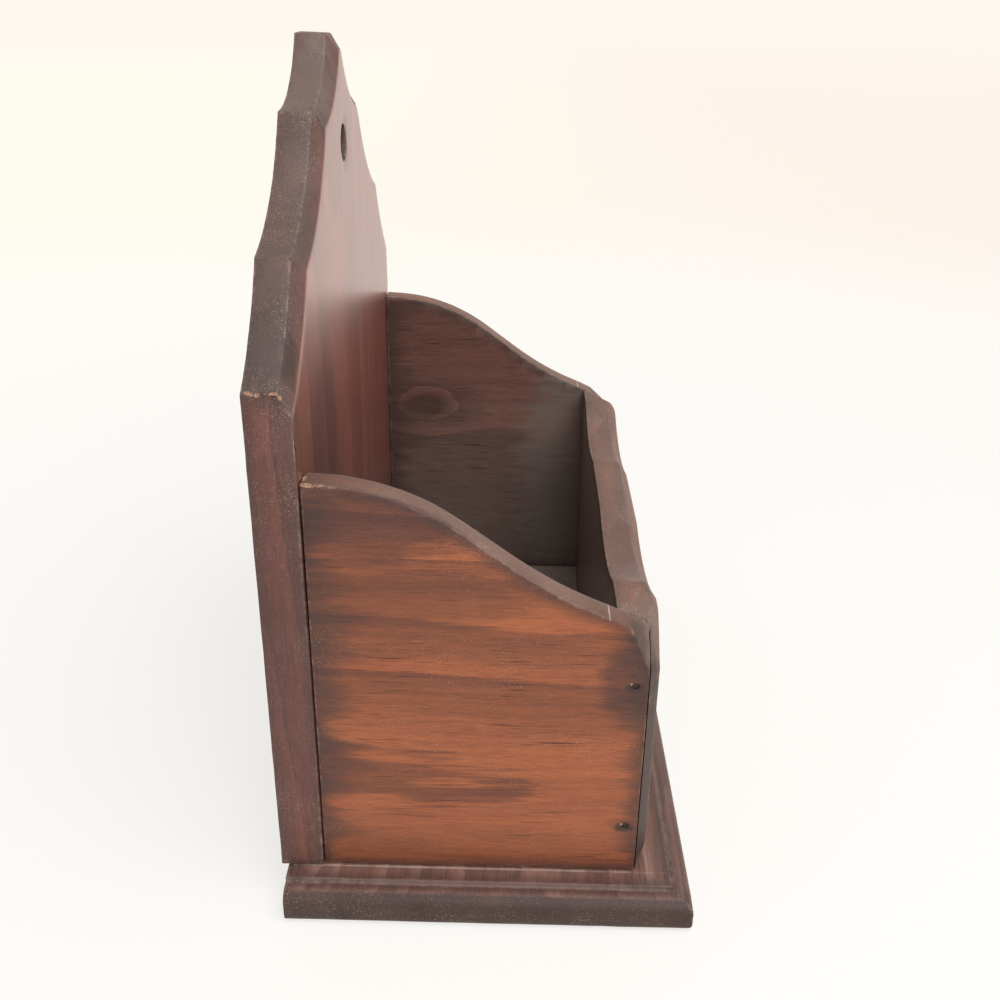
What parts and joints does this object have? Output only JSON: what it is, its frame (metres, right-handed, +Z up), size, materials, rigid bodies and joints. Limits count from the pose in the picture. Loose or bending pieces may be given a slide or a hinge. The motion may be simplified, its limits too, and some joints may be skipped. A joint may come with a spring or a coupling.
{
  "type": "letter box",
  "caption": "Free-standing wooden letter box: open pocket with curved sides, wavy front, moulded base and tall scalloped back with a hanging hole.",
  "frame": {"origin": "on the table, under the middle of the object's bounding box", "axes": "+Z is up, the front of the box faces -Y, and +X is to the right as seen from the front; the shape is symmetric about X = 0"},
  "size_m": [0.235, 0.128, 0.25],
  "materials": {
    "stained_pine": "satin",
    "nail_steel": "satin"
  },
  "bodies": {
    "root": {"base_board": "stained_pine", "back_board": "stained_pine", "left_side": "stained_pine", "right_side": "stained_pine", "front_board": "stained_pine", "left_front_nails": "nail_steel", "right_front_nails": "nail_steel", "left_back_nails": "nail_steel", "right_back_nails": "nail_steel", "base_back_nails": "nail_steel", "base_front_nails": "nail_steel", "left_base_nails": "nail_steel", "right_base_nails": "nail_steel"}
  },
  "joints": []
}
